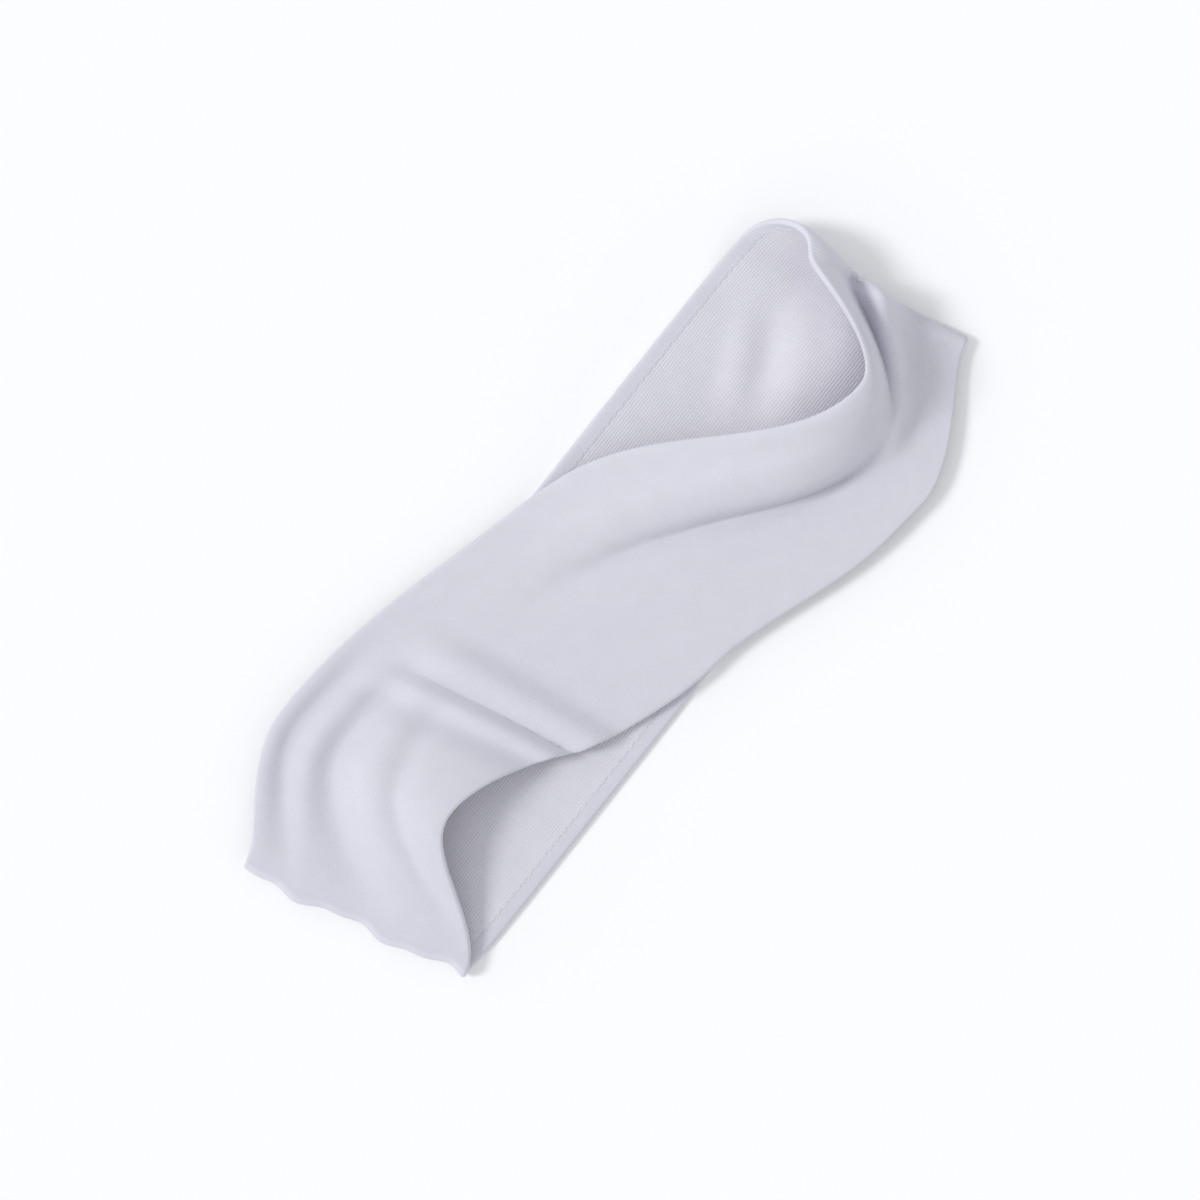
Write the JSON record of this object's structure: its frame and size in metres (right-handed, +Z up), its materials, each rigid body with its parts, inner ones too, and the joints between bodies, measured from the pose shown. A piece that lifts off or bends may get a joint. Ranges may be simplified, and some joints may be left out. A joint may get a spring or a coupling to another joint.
{
  "type": "sports headband",
  "caption": "Soft double-layer stretch-knit headband, a wide sewn loop laid flat and slightly buckled, with an open mouth at one end.",
  "frame": {"origin": "middle of the footprint of the laid band, at table level", "axes": "+X along the laid band towards the open-mouthed end, +Y towards the edge that stands up as the mouth, +Z up from the table"},
  "size_m": [0.245, 0.104, 0.0265],
  "materials": {
    "outer_knit": "fine matt knit with a faint sheen",
    "lining_knit": "coarser matt knit, the inside face",
    "thread": "polyester sewing thread"
  },
  "bodies": {
    "root": {"outer_panel": "outer_knit", "inner_panel": "lining_knit", "upper_edge_seam": "thread", "lower_edge_seam": "thread", "outer_join_seam": "thread", "inner_join_seam": "thread"}
  },
  "joints": []
}
